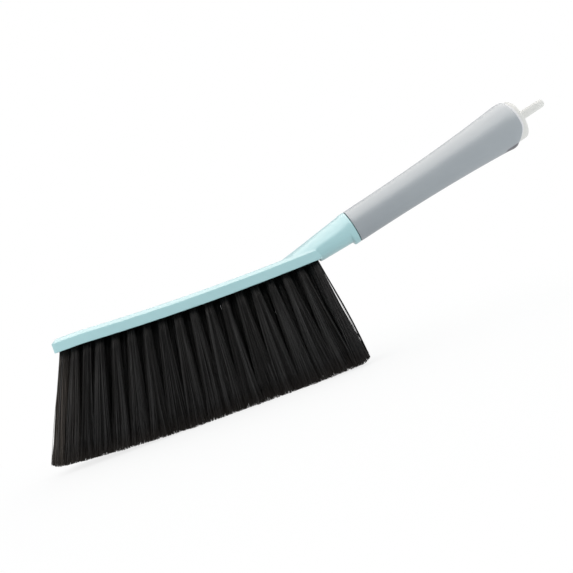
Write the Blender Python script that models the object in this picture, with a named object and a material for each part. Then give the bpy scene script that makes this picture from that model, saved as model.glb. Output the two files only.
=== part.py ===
"""Counter duster: a long arched brush block with a neck and collar moulded on one end, a
flared handle sleeve over the block's tang, an end cap with a hanging loop, and three
staggered rows of bristle tufts set in blind holes.

Metres, +Z up. The brush stands on its bristle tips with the handle towards +X, and the
origin is on the tip plane, below the middle of the whole brush.
"""

import math

import bmesh
import bpy
from mathutils import Vector

# Between pieces that touch on the real brush, and past the faces that a cutter opens
FIT_GAP = 0.0003
CUT_OVERRUN = 0.002

# Brush block, in plan: parallel sides, a nose that tapers to a blunt end, a round heel
BLOCK_LENGTH = 0.1815
BLOCK_WIDTH = 0.028
BLOCK_THICKNESS = 0.0086
NOSE_LENGTH = 0.020
NOSE_WIDTH = 0.022
NOSE_CORNER_RADIUS = 0.004
NOSE_BEND_RADIUS = 0.012
HEEL_CORNER_RADIUS = 0.005
TOP_EDGE_RADIUS = 0.0022
TOP_EDGE_STEPS = 3
CORNER_STEPS = 5
BEND_STEPS = 2
BLOCK_SLICES = 14

# The block is arched up from a lowest line, which is nearer the heel, and its nose is level
ARCH_RADIUS = 1.6
ARCH_LOW_TO_HEEL = 0.069
BLOCK_HEIGHT = 0.0715

# Neck, collar and tang, round the handle's axis, which leaves the heel rising
HANDLE_ANGLE = math.radians(13.2)
SEAM_REACH = 0.0259
SEAM_RISE = 0.0143
COLLAR_RADIUS = 0.0111
COLLAR_LENGTH = 0.005
COLLAR_STEP = 0.0021
NECK_TOP_STEP = 0.0003
NECK_TAPER_SHARE = 0.088
NECK_UNDER_TAPER_SHARE = 0.042
NECK_SIDE_FLARE_SHARE = 0.07
NECK_SIDE_INSET = 0.0004
NECK_ROOT_BURY = 0.0034
NECK_ROOT_STEP = 0.0018
NECK_TAIL_REACH = 0.0325
NECK_TAIL_SINK = 0.0005
NECK_BLEND = 0.0008
NECK_COVER = 0.0022
NECK_SLICES = 11
EDGE_EASE = 0.0004
TANG_LENGTH = 0.036
TANG_LEAD = 0.0025
TANG_WALL = 0.0026
CORE_REACH = 0.021
ROUND_SIDES = 28
CORE_SIDES = 16

# Handle sleeve: a tube that flares to a rolled rim, which is cut back at its underside
SLEEVE_LENGTH = 0.1235
SLEEVE_FLARE = 0.0044
SLEEVE_FLARE_POWER = 2.4
SLEEVE_WALL = 0.0022
SLEEVE_SLICES = 9
RIM_ROLL_DEPTH = 0.0045
RIM_ROLL_HEIGHT = 0.0008
RIM_STEPS = 3
RIM_CUT_DEPTH = 0.0042
RIM_CUT_START = 0.012
RIM_CUT_LEVEL_SHARES = (0.55, 0.95)

# End cap: a flange that follows the sleeve's rim, and a hollow skirt that plugs its bore
FLANGE_INSET = 0.0006
FLANGE_THICKNESS = 0.0042
FLANGE_ROUND = 0.0012
FLANGE_CROWN = 0.0014
FLANGE_STEPS = 3
SKIRT_LENGTH = 0.012
SKIRT_WALL = 0.0018

# Hanging loop: a flat tab on the cap, along the handle, with a hole across it
LOOP_REACH = 0.0200
LOOP_WIDTH = 0.016
LOOP_ROOT_THICKNESS = 0.0057
LOOP_TIP_THICKNESS = 0.0051
LOOP_ROOT_DEPTH = 0.0015
LOOP_HOLE_MARGIN = 0.0037
LOOP_TIP_STEPS = 12
LOOP_HOLE_SIDES = 20

# Tufts: three staggered rows, closer together along the nose, fanned out to their tips
OUTER_COLUMNS = 18
NOSE_GAPS = 3
NOSE_PITCH_SHARE = 0.8
NOSE_MARGIN = 0.0055
HEEL_MARGIN = 0.0053
SIDE_MARGIN = 0.006
HOLE_RADIUS = 0.0028
HOLE_FLOOR = 0.003
HOLE_SIDES = 8
PLUG_PROUD = 0.0005
STRANDS_ROUND = 8
STRAND_SIDES = 3
ROOT_RING_SHARE = 0.66
ROOT_STRAND_RADIUS = 0.0005
TIP_RING_SHARE = 0.80
TIP_STRAND_RADIUS = 0.0009
TIP_FILL_SHARE = 0.46
ROW_SPREAD = 0.0045
LEAN_AT_NOSE = math.radians(-21.8)
LEAN_AT_HEEL = math.radians(8)
TRIM_REACH = 0.138
TRIM_RISE = 0.0058
TRIM_POWER = 3
TIP_CUT = 0.0005
STRAND_TURN = math.radians(137.5)

HALF_LENGTH = BLOCK_LENGTH / 2
HALF_WIDTH = BLOCK_WIDTH / 2
HOLE_DEPTH = BLOCK_THICKNESS - HOLE_FLOOR
LOWEST_X = HALF_LENGTH - ARCH_LOW_TO_HEEL
NOSE_BEND_X = -HALF_LENGTH + NOSE_LENGTH
CAP_FACE = SLEEVE_LENGTH + FIT_GAP + FLANGE_THICKNESS
TANG_RADIUS = COLLAR_RADIUS - SLEEVE_WALL - FIT_GAP
SEAM = Vector((HALF_LENGTH + SEAM_REACH, 0, BLOCK_HEIGHT + SEAM_RISE))
ALONG = Vector((math.cos(HANDLE_ANGLE), 0, math.sin(HANDLE_ANGLE)))
ACROSS = Vector((0, 1, 0))
UPWARD = Vector((-math.sin(HANDLE_ANGLE), 0, math.cos(HANDLE_ANGLE)))


def clear_scene():
    for item in list(bpy.data.objects):
        bpy.data.objects.remove(item, do_unlink=True)


def make_material(name, colour, roughness, metallic=0.0):
    material = bpy.data.materials.new(name)
    material.use_nodes = True
    shader = material.node_tree.nodes["Principled BSDF"]
    shader.inputs["Base Color"].default_value = (*colour, 1)
    shader.inputs["Roughness"].default_value = roughness
    shader.inputs["Metallic"].default_value = metallic
    material.diffuse_color = (*colour, 1)
    return material


def add_object(name, mesh_data, material, parent, place=None):
    """Turn a bmesh into a named object; place is its origin, and its points are moved to suit."""
    origin = Vector(place) if place else Vector((0, 0, 0))
    bmesh.ops.translate(mesh_data, verts=mesh_data.verts, vec=-origin)
    bmesh.ops.recalc_face_normals(mesh_data, faces=mesh_data.faces)
    mesh = bpy.data.meshes.new(name)
    mesh_data.to_mesh(mesh)
    mesh_data.free()
    if material:
        mesh.materials.append(material)
    mesh.shade_smooth()
    mesh.set_sharp_from_angle(angle=math.radians(30))
    item = bpy.data.objects.new(name, mesh)
    item.location = origin
    item.parent = parent
    bpy.context.scene.collection.objects.link(item)
    return item


def add_cutter(name, mesh_data, parent):
    cutter = add_object(name, mesh_data, None, parent)
    cutter.hide_render = True
    cutter.display_type = "WIRE"
    return cutter


def add_boolean(item, tool, operation):
    modifier = item.modifiers.new(tool.name, "BOOLEAN")
    modifier.operation = operation
    modifier.solver = "EXACT"
    modifier.object = tool


def loft(mesh_data, rings, around=False):
    """Join rings of points with a skin, closed by flat ends, or end to start if around."""
    rows = []
    for ring in rings:
        rows.append([mesh_data.verts.new(point) for point in ring])
    pairs = list(zip(rows, rows[1:]))
    if around:
        pairs.append((rows[-1], rows[0]))
    for low, high in pairs:
        for index in range(len(low)):
            following = (index + 1) % len(low)
            mesh_data.faces.new((low[index], low[following], high[following], high[index]))
    if not around:
        mesh_data.faces.new(list(reversed(rows[0])))
        mesh_data.faces.new(rows[-1])


def corner_arc(before, corner, after, radius, steps):
    """Points of the fillet of one corner of a flat outline."""
    into = (corner - before).normalized()
    out = (after - corner).normalized()
    turn = into.angle(out)
    side = Vector((-into.y, into.x)) if into.cross(out) > 0 else Vector((into.y, -into.x))
    start = corner - into * radius * math.tan(turn / 2)
    points = []
    for step in range(steps + 1):
        swept = turn * step / steps
        points.append(start + into * radius * math.sin(swept) + side * radius * (1 - math.cos(swept)))
    return points


def arch_rise(x):
    return (max(x, NOSE_BEND_X) - LOWEST_X) ** 2 / (2 * ARCH_RADIUS)


def underside_z(x):
    return BLOCK_HEIGHT + arch_rise(x)


def half_width_at(x):
    into_nose = min(1, (x + HALF_LENGTH) / NOSE_LENGTH)
    return NOSE_WIDTH / 2 + (BLOCK_WIDTH - NOSE_WIDTH) / 2 * into_nose


def on_handle(t, up, across):
    """A point by its distance along the handle's axis from the seam, above it and across it."""
    return SEAM + ALONG * t + UPWARD * up + ACROSS * across


def height_on_handle(z, t):
    """How far above the handle's axis the level z is, at the station t."""
    return (z - SEAM.z - t * math.sin(HANDLE_ANGLE)) / math.cos(HANDLE_ANGLE)


def oval_ring(t, centre, up, down, side, sides):
    ring = []
    for step in range(sides):
        angle = math.tau * step / sides
        height = up if math.sin(angle) > 0 else down
        ring.append(on_handle(t, centre + height * math.sin(angle), side * math.cos(angle)))
    return ring


def build_slab():
    """The block's slab: its plan drawn out, its top edge rounded, then arched."""
    outline_corners = (
        (-HALF_LENGTH, -NOSE_WIDTH / 2, NOSE_CORNER_RADIUS, CORNER_STEPS),
        (NOSE_BEND_X, -HALF_WIDTH, NOSE_BEND_RADIUS, BEND_STEPS),
        (HALF_LENGTH, -HALF_WIDTH, HEEL_CORNER_RADIUS, CORNER_STEPS),
        (HALF_LENGTH, HALF_WIDTH, HEEL_CORNER_RADIUS, CORNER_STEPS),
        (NOSE_BEND_X, HALF_WIDTH, NOSE_BEND_RADIUS, BEND_STEPS),
        (-HALF_LENGTH, NOSE_WIDTH / 2, NOSE_CORNER_RADIUS, CORNER_STEPS),
    )
    outline = []
    for index, (x, y, radius, steps) in enumerate(outline_corners):
        before = Vector(outline_corners[index - 1][:2])
        after = Vector(outline_corners[(index + 1) % len(outline_corners)][:2])
        outline += corner_arc(before, Vector((x, y)), after, radius, steps)
    slab = bmesh.new()
    base = slab.faces.new([slab.verts.new((point.x, point.y, 0)) for point in outline])
    drawn = bmesh.ops.extrude_face_region(slab, geom=[base])
    top = [item for item in drawn["geom"] if isinstance(item, bmesh.types.BMVert)]
    bmesh.ops.translate(slab, verts=top, vec=(0, 0, BLOCK_THICKNESS))
    rim = [edge for edge in slab.edges if all(vert in top for vert in edge.verts)]
    bmesh.ops.bevel(slab, geom=rim, offset=TOP_EDGE_RADIUS, segments=TOP_EDGE_STEPS,
                    profile=0.5, affect="EDGES", clamp_overlap=True)
    for index in range(BLOCK_SLICES):
        cut = Vector((NOSE_BEND_X + (HALF_LENGTH - NOSE_BEND_X) * index / BLOCK_SLICES, 0, 0))
        bmesh.ops.bisect_plane(slab, geom=slab.verts[:] + slab.edges[:] + slab.faces[:],
                               plane_co=cut, plane_no=(1, 0, 0))
    for vert in slab.verts:
        vert.co.z += underside_z(vert.co.x)
    return slab


def neck_top(t):
    """The neck's upper line: the block's top, blended into the cone that meets the collar."""
    top_z = underside_z(on_handle(t, 0, 0).x) + BLOCK_THICKNESS - NECK_TAIL_SINK
    block_top = height_on_handle(top_z, t)
    cone = COLLAR_RADIUS - NECK_TOP_STEP + NECK_TAPER_SHARE * (t + COLLAR_LENGTH)
    blend = math.sqrt((block_top - cone) ** 2 + NECK_BLEND ** 2)
    return (block_top + cone + blend) / 2


def neck_side(t):
    """Half the neck's width, which grows from the collar but stays inside the slab's sides."""
    flared = COLLAR_RADIUS - NECK_SIDE_FLARE_SHARE * (t + COLLAR_LENGTH)
    return min(flared, HALF_WIDTH - NECK_SIDE_INSET)


def build_neck():
    """Neck, collar and tang in one skin, from a tail buried in the slab to the tang's end."""
    root = -SEAM_REACH / math.cos(HANDLE_ANGLE) - NECK_ROOT_BURY
    stations = []
    for index in range(NECK_SLICES):
        stations.append(root - NECK_TAIL_REACH * (1 - index / NECK_SLICES))
    rings = []
    cover_z = underside_z(HALF_LENGTH) + NECK_COVER
    middle_z = underside_z(HALF_LENGTH) + BLOCK_THICKNESS / 2
    for t in stations:
        centre = max(0, height_on_handle(middle_z, t))
        down = centre - height_on_handle(cover_z, t)
        rings.append(oval_ring(t, centre, neck_top(t) - centre, down, neck_side(t), ROUND_SIDES))
    for t in (root + NECK_ROOT_STEP, root / 2, -COLLAR_LENGTH - EDGE_EASE):
        down = COLLAR_RADIUS - COLLAR_STEP + NECK_UNDER_TAPER_SHARE * (t + COLLAR_LENGTH)
        rings.append(oval_ring(t, 0, neck_top(t), down, neck_side(t), ROUND_SIDES))
    turned = (
        (-COLLAR_LENGTH, COLLAR_RADIUS),
        (-EDGE_EASE, COLLAR_RADIUS),
        (0, COLLAR_RADIUS - EDGE_EASE),
        (0, TANG_RADIUS),
        (TANG_LENGTH - TANG_LEAD, TANG_RADIUS),
        (TANG_LENGTH, TANG_RADIUS - TANG_WALL / 2),
    )
    for t, radius in turned:
        rings.append(oval_ring(t, 0, radius, radius, radius, ROUND_SIDES))
    neck = bmesh.new()
    loft(neck, rings)
    return neck


def build_neck_core():
    """The blind hollow up the tang and neck, which keeps the moulding's walls even."""
    core = bmesh.new()
    radius = TANG_RADIUS - TANG_WALL
    rings = []
    for t in (-CORE_REACH, TANG_LENGTH + CUT_OVERRUN):
        rings.append(oval_ring(t, 0, radius, radius, radius, CORE_SIDES))
    loft(core, rings)
    return core


def sleeve_radius(t):
    return COLLAR_RADIUS + SLEEVE_FLARE * (t / SLEEVE_LENGTH) ** SLEEVE_FLARE_POWER


def bore_radius(t):
    return max(COLLAR_RADIUS, sleeve_radius(t)) - SLEEVE_WALL


def seat_radius():
    """Bore of the sleeve's straight end, which the cap's skirt plugs."""
    return bore_radius(SLEEVE_LENGTH - SKIRT_LENGTH - CUT_OVERRUN)


def rim_radius():
    return sleeve_radius(SLEEVE_LENGTH - RIM_ROLL_DEPTH) - RIM_ROLL_HEIGHT


def rim_back(angle):
    """How far the rim is drawn back at this angle: not above, and in full along the bottom."""
    level, full_level = RIM_CUT_LEVEL_SHARES
    share = (-math.sin(angle) - level) / (full_level - level)
    share = min(1, max(0, share))
    return RIM_CUT_DEPTH * share * share * (3 - 2 * share)


def sleeve_ring(t, radius, past=0.0):
    """A ring round the handle's axis, drawn back at its underside as it nears the rim. What
    meets the rim lies past it by a gap."""
    share = (t - SLEEVE_LENGTH + RIM_CUT_START) / RIM_CUT_START
    share = min(1, max(0, share))
    ring = []
    for step in range(ROUND_SIDES):
        angle = math.tau * step / ROUND_SIDES
        back = rim_back(angle) * share
        up, across = radius * math.sin(angle), radius * math.cos(angle)
        ring.append(on_handle(t + past - back, up, across))
    return ring


def build_sleeve():
    """Outer skin from the seam over the rolled rim, then back through the bore."""
    rings = [sleeve_ring(FIT_GAP, COLLAR_RADIUS - EDGE_EASE)]
    near = FIT_GAP + EDGE_EASE
    roll_start = SLEEVE_LENGTH - RIM_ROLL_DEPTH
    for index in range(SLEEVE_SLICES + 1):
        t = near + (roll_start - near) * index / SLEEVE_SLICES
        rings.append(sleeve_ring(t, sleeve_radius(t)))
    for index in range(1, RIM_STEPS + 1):
        angle = math.pi / 2 * index / RIM_STEPS
        t = roll_start + RIM_ROLL_DEPTH * math.sin(angle)
        drop = RIM_ROLL_HEIGHT * (1 - math.cos(angle))
        rings.append(sleeve_ring(t, sleeve_radius(roll_start) - drop))
    rings.append(sleeve_ring(SLEEVE_LENGTH, seat_radius()))
    seat_start = SLEEVE_LENGTH - SKIRT_LENGTH - CUT_OVERRUN
    for index in range(SLEEVE_SLICES // 2, -1, -1):
        t = FIT_GAP + (seat_start - FIT_GAP) * index / (SLEEVE_SLICES // 2)
        rings.append(sleeve_ring(t, bore_radius(t)))
    sleeve = bmesh.new()
    loft(sleeve, rings, around=True)
    return sleeve


def build_cap_body():
    """Flange drawn back with the rim, its rounded, crowned face, and a hollow skirt behind it."""
    skirt_radius = seat_radius() - FIT_GAP
    flange_radius = rim_radius() - FLANGE_INSET
    skirt_end = SLEEVE_LENGTH - SKIRT_LENGTH
    skirt = (
        (CAP_FACE - SKIRT_WALL, skirt_radius - SKIRT_WALL),
        (skirt_end, skirt_radius - SKIRT_WALL),
        (skirt_end, skirt_radius),
    )
    turned = []
    for index in range(FLANGE_STEPS + 1):
        angle = math.pi / 2 * index / FLANGE_STEPS
        t = CAP_FACE - FLANGE_ROUND * (1 - math.sin(angle))
        turned.append((t, flange_radius - FLANGE_ROUND * (1 - math.cos(angle))))
    turned.append((CAP_FACE + FLANGE_CROWN, flange_radius / 2))
    rings = [oval_ring(t, 0, radius, radius, radius, ROUND_SIDES) for t, radius in skirt]
    rings += [sleeve_ring(SLEEVE_LENGTH, radius, FIT_GAP) for radius in (skirt_radius, flange_radius)]
    rings += [oval_ring(t, 0, radius, radius, radius, ROUND_SIDES) for t, radius in turned]
    body = bmesh.new()
    loft(body, rings)
    return body


def loop_point(reach, across, side):
    """A point on the tab's upper (side 1) or lower (side -1) face."""
    share = reach / LOOP_REACH
    thickness = LOOP_ROOT_THICKNESS + (LOOP_TIP_THICKNESS - LOOP_ROOT_THICKNESS) * share
    return on_handle(CAP_FACE + reach, side * thickness / 2, across)


def build_loop_tab():
    """Flat tab with a half-round tip, thinner towards the tip, rooted in the cap's face."""
    half = LOOP_WIDTH / 2
    plan = [(-LOOP_ROOT_DEPTH, half), (-LOOP_ROOT_DEPTH, -half)]
    for step in range(LOOP_TIP_STEPS + 1):
        angle = -math.pi / 2 + math.pi * step / LOOP_TIP_STEPS
        plan.append((LOOP_REACH - half + half * math.cos(angle), half * math.sin(angle)))
    tab = bmesh.new()
    lower = [loop_point(reach, across, -1) for reach, across in plan]
    upper = [loop_point(reach, across, 1) for reach, across in plan]
    loft(tab, [lower, upper])
    return tab


def build_loop_hole():
    hole = bmesh.new()
    radius = LOOP_WIDTH / 2 - LOOP_HOLE_MARGIN
    centre = CAP_FACE + LOOP_REACH - LOOP_WIDTH / 2
    deep = LOOP_ROOT_THICKNESS / 2 + CUT_OVERRUN
    rings = []
    for height in (-deep, deep):
        ring = []
        for step in range(LOOP_HOLE_SIDES):
            angle = math.tau * step / LOOP_HOLE_SIDES
            along = centre + radius * math.cos(angle)
            ring.append(on_handle(along, height, radius * math.sin(angle)))
        rings.append(ring)
    loft(hole, rings)
    return hole


def column_places():
    """Places along the block of the outer rows' tufts, from the nose to the heel."""
    gaps = OUTER_COLUMNS - 1
    field = BLOCK_LENGTH - NOSE_MARGIN - HEEL_MARGIN
    pitch = field / (gaps - NOSE_GAPS + NOSE_GAPS * NOSE_PITCH_SHARE)
    places = [-HALF_LENGTH + NOSE_MARGIN]
    for index in range(gaps):
        step = pitch * NOSE_PITCH_SHARE if index < NOSE_GAPS else pitch
        places.append(places[-1] + step)
    return places


def trim_z(x):
    """Height of the trimmed tips: level in the middle, rising to both ends, cut flat below."""
    return max(0, TRIM_RISE * (abs(x - LOWEST_X) / TRIM_REACH) ** TRIM_POWER - TIP_CUT)


def lean_at(x):
    """Lean of a tuft, which turns evenly from the nose to the heel."""
    along = (x + HALF_LENGTH) / BLOCK_LENGTH
    return LEAN_AT_NOSE + (LEAN_AT_HEEL - LEAN_AT_NOSE) * along


def tuft_axes(places, row):
    """Root and tip of each tuft of a row; row is -1 at the front, 0 in the middle, 1 behind."""
    axes = []
    for x in places:
        root = Vector((x, row * (half_width_at(x) - SIDE_MARGIN), underside_z(x)))
        tip_x = x + math.tan(lean_at(x)) * (root.z - trim_z(x))
        tip = Vector((tip_x, root.y + row * ROW_SPREAD, trim_z(tip_x)))
        axes.append((root, tip))
    return axes


def cross_axes(direction):
    side = ACROSS.cross(direction).normalized()
    return side, direction.cross(side).normalized()


def axis_ring(centre, direction, radius, sides, turn=0.0):
    first, second = cross_axes(direction)
    ring = []
    for step in range(sides):
        angle = turn + math.tau * step / sides
        ring.append(centre + first * radius * math.cos(angle) + second * radius * math.sin(angle))
    return ring


def slide_to_level(point, direction, level):
    return point + direction * ((level - point.z) / direction.z)


def build_tuft_holes(all_axes):
    holes = bmesh.new()
    for root, tip in all_axes:
        upward = (root - tip).normalized()
        rings = []
        for centre in (root - upward * CUT_OVERRUN, root + upward * HOLE_DEPTH):
            rings.append(axis_ring(centre, upward, HOLE_RADIUS, HOLE_SIDES))
        loft(holes, rings)
    return holes


def build_tuft(root, tip, half_along, half_across, number):
    """One tuft: a plug in its hole, and strands that fan from its face to the trim line."""
    tuft = bmesh.new()
    upward = (root - tip).normalized()
    plug_radius = HOLE_RADIUS - FIT_GAP / math.cos(math.pi / HOLE_SIDES)
    face_level = root.z - PLUG_PROUD
    inner = axis_ring(root + upward * (HOLE_DEPTH - FIT_GAP), upward, plug_radius, HOLE_SIDES)
    outer = [slide_to_level(point, upward, face_level) for point in inner]
    inner_verts = [tuft.verts.new(point) for point in inner]
    outer_verts = [tuft.verts.new(point) for point in outer]
    tuft.faces.new(inner_verts)
    loops = []
    for index in range(HOLE_SIDES):
        following = (index + 1) % HOLE_SIDES
        tuft.faces.new((inner_verts[index], outer_verts[index],
                        outer_verts[following], inner_verts[following]))
        loops.append(tuft.edges.get((outer_verts[index], outer_verts[following])))
    first, second = cross_axes(upward)
    spots = [(0, 0)]
    for step in range(STRANDS_ROUND):
        angle = math.tau * (step + 0.5) / STRANDS_ROUND
        spots.append((math.cos(angle), math.sin(angle)))
    for index, (u, v) in enumerate(spots):
        turn = STRAND_TURN * (index + number)
        ring_radius = plug_radius * ROOT_RING_SHARE
        start = root + first * u * ring_radius + second * v * ring_radius
        root_ring = axis_ring(start, upward, ROOT_STRAND_RADIUS, STRAND_SIDES, turn)
        root_verts = [tuft.verts.new(slide_to_level(point, upward, face_level)) for point in root_ring]
        end = Vector((tip.x + u * half_along * TIP_RING_SHARE, tip.y + v * half_across * TIP_RING_SHARE))
        tip_verts = []
        for corner in range(STRAND_SIDES):
            angle = turn + math.tau * corner / STRAND_SIDES
            x = end.x + TIP_STRAND_RADIUS * math.cos(angle)
            y = end.y + TIP_STRAND_RADIUS * math.sin(angle)
            tip_verts.append(tuft.verts.new((x, y, trim_z(x))))
        for corner in range(STRAND_SIDES):
            following = (corner + 1) % STRAND_SIDES
            tuft.faces.new((root_verts[corner], root_verts[following],
                            tip_verts[following], tip_verts[corner]))
            loops.append(tuft.edges.get((root_verts[corner], root_verts[following])))
        tuft.faces.new(tip_verts)
    bmesh.ops.triangle_fill(tuft, use_beauty=True, edges=loops, normal=(0, 0, -1))
    return tuft


def add_tuft_row(label, axes, material, parent):
    tufts = []
    for index, (root, tip) in enumerate(axes):
        neighbours = axes[max(0, index - 1):index] + axes[index + 1:index + 2]
        pitch = min(abs(tip.x - other.x) for _, other in neighbours)
        row_pitch = half_width_at(root.x) - SIDE_MARGIN + ROW_SPREAD
        tuft = build_tuft(root, tip, TIP_FILL_SHARE * pitch, TIP_FILL_SHARE * row_pitch, index)
        tufts.append(add_object(f"tuft_{label}_{index + 1:02d}", tuft, material, parent, place=root))
    return tufts


def centre_over_origin(brush, pieces):
    """Put the origin below the middle of the whole brush, from nose tips to hanging loop."""
    reach = [piece.location.x + vert.co.x for piece in pieces for vert in piece.data.vertices]
    brush.location.x = -(min(reach) + max(reach)) / 2


def build_brush():
    clear_scene()
    aqua = make_material("aqua_polypropylene", (0.38, 0.62, 0.64), 0.35)
    grey = make_material("grey_grip_plastic", (0.38, 0.41, 0.43), 0.5)
    white = make_material("white_cap_plastic", (0.68, 0.69, 0.64), 0.4)
    black = make_material("black_bristle_fibre", (0.015, 0.015, 0.014), 0.55)

    brush = bpy.data.objects.new("brush_origin", None)
    bpy.context.scene.collection.objects.link(brush)

    outer = column_places()
    middle = [(low + high) / 2 for low, high in zip(outer, outer[1:])]
    rows = {
        "front": tuft_axes(outer, -1),
        "middle": tuft_axes(middle, 0),
        "rear": tuft_axes(outer, 1),
    }

    block = add_object("brush_block", build_slab(), aqua, brush)
    add_boolean(block, add_cutter("neck_form", build_neck(), brush), "UNION")
    add_boolean(block, add_cutter("neck_core", build_neck_core(), brush), "DIFFERENCE")
    all_axes = [axis for axes in rows.values() for axis in axes]
    add_boolean(block, add_cutter("tuft_holes", build_tuft_holes(all_axes), brush), "DIFFERENCE")

    add_object("handle_sleeve", build_sleeve(), grey, brush, place=SEAM)

    cap = add_object("end_cap", build_cap_body(), white, brush)
    tab = add_cutter("loop_tab", build_loop_tab(), brush)
    add_boolean(cap, tab, "UNION")
    add_boolean(cap, add_cutter("loop_hole", build_loop_hole(), brush), "DIFFERENCE")

    pieces = [tab]
    for label, axes in rows.items():
        pieces += add_tuft_row(label, axes, black, brush)
    centre_over_origin(brush, pieces)


build_brush()
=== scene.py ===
"""A counter duster with an aqua block and neck, a grey handle sleeve, an off-white end cap
and black tufts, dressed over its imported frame.

Metres, +Z up. The brush stands on its trimmed bristle tips with its handle towards +X.
"""

import math
import random

import bmesh
import bpy
import numpy as np
from mathutils import Matrix, Vector


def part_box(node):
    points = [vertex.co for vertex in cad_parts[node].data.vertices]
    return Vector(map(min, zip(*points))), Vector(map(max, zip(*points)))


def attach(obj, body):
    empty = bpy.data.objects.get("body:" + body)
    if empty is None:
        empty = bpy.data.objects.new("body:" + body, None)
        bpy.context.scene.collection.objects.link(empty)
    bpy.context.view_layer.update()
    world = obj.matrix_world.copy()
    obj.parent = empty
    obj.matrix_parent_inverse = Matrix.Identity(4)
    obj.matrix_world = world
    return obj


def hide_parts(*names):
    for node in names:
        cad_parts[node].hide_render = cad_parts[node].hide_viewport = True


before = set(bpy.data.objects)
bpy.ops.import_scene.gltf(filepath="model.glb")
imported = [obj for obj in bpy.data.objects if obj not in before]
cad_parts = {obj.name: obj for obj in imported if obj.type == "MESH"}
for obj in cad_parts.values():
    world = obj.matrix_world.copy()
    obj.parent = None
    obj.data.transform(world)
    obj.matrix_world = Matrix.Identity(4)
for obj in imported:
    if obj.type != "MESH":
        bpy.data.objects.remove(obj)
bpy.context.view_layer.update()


# Camera: square to the brush's long side and a little lower than its block. It is turned
# about its own line of sight, so that the brush climbs to the right.
CAMERA_PLACE = Vector((-0.0088, -0.466, 0.0639))
CAMERA_TURN = math.radians(20)
CAMERA_LENS = 45.0
CAMERA_SENSOR = 36.0
CAMERA_CLIP_START = 0.01

bpy.ops.object.select_all(action="DESELECT")
bpy.ops.object.camera_add(location=CAMERA_PLACE, rotation=(math.radians(90), CAMERA_TURN, 0))
camera = bpy.context.object
camera.name = "picture_camera"
camera.data.lens = CAMERA_LENS
camera.data.sensor_width = CAMERA_SENSOR
camera.data.clip_start = CAMERA_CLIP_START
bpy.context.scene.camera = camera
bpy.context.scene.view_settings.view_transform = "Standard"


# Studio: an even white room that lights the brush at a plain level, and a wide light bank
# overhead, which shows only in the gloss of the plastics, as a pale band along their tops.
ROOM_LIGHT = 0.80
BANK_PLACE = Vector((0, -0.30, 0.95))
BANK_LENGTH = 3.0
BANK_DEPTH = 2.0
BANK_WATTS = 100.0
BANK_TINT = "FFF9F4"


def linear(hex_code):
    """The linear colour, with alpha, of an sRGB hex value."""
    channels = []
    for start in (0, 2, 4):
        value = int(hex_code[start:start + 2], 16) / 255
        channels.append(value / 12.92 if value <= 0.04045 else ((value + 0.055) / 1.055) ** 2.4)
    return (*channels, 1)


def add_node(tree, kind, settings=None, links=None):
    """Add one node; settings are its properties and input values, links the sockets feeding it."""
    node = tree.nodes.new(kind)
    for name, value in (settings or {}).items():
        if isinstance(name, str) and name not in node.inputs:
            setattr(node, name, value)
        else:
            node.inputs[name].default_value = value
    for name, socket in (links or {}).items():
        tree.links.new(socket, node.inputs[name])
    return node


def seen_directly(tree):
    """1 for rays that see the surface or mirror it, 0 for rays that only carry its light."""
    rays = add_node(tree, "ShaderNodeLightPath")
    either = add_node(tree, "ShaderNodeMath", {"operation": "MAXIMUM"},
                      {0: rays.outputs["Is Camera Ray"], 1: rays.outputs["Is Glossy Ray"]})
    return either.outputs[0]


room = bpy.data.worlds.new("white_room")
room.use_nodes = True
room.node_tree.nodes.clear()
room_light = add_node(room.node_tree, "ShaderNodeBackground",
                      {"Color": linear("FCFDFF"), "Strength": ROOM_LIGHT})
room_white = add_node(room.node_tree, "ShaderNodeBackground",
                      {"Color": linear("FFFFFF"), "Strength": 1.0})
room_mix = add_node(room.node_tree, "ShaderNodeMixShader", None,
                    {0: seen_directly(room.node_tree), 1: room_light.outputs[0],
                     2: room_white.outputs[0]})
add_node(room.node_tree, "ShaderNodeOutputWorld", None, {"Surface": room_mix.outputs[0]})
bpy.context.scene.world = room

bpy.ops.object.light_add(type="AREA", location=BANK_PLACE)
bank = bpy.context.object
bank.name = "overhead_bank"
bank.data.shape = "RECTANGLE"
bank.data.size = BANK_LENGTH
bank.data.size_y = BANK_DEPTH
bank.data.energy = BANK_WATTS
bank.data.color = linear(BANK_TINT)[:3]
bank.visible_diffuse = False
bank.visible_camera = False


# Floor: a pale matt board that the bristle tips stand on. Away from the brush it turns into
# the room's white, and close by it keeps a faint soft shadow.
FLOOR_SIZE = 12.0
FLOOR_DROP = 0.0002
SHADOW_NEAR = 0.16
SHADOW_FAR = 0.34
SHADOW_SHARE = 0.30
BOARD_SHORTFALL = 0.30
BOUNCE_NEAR = 0.10
BOUNCE_FAR = 0.45
BOUNCE_GLOW = 1.0

bpy.ops.mesh.primitive_plane_add(size=FLOOR_SIZE, location=(0, 0, -FLOOR_DROP))
floor = bpy.context.object
floor.name = "pale_floor"
bpy.ops.object.transform_apply(location=True, rotation=True, scale=True)

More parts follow.
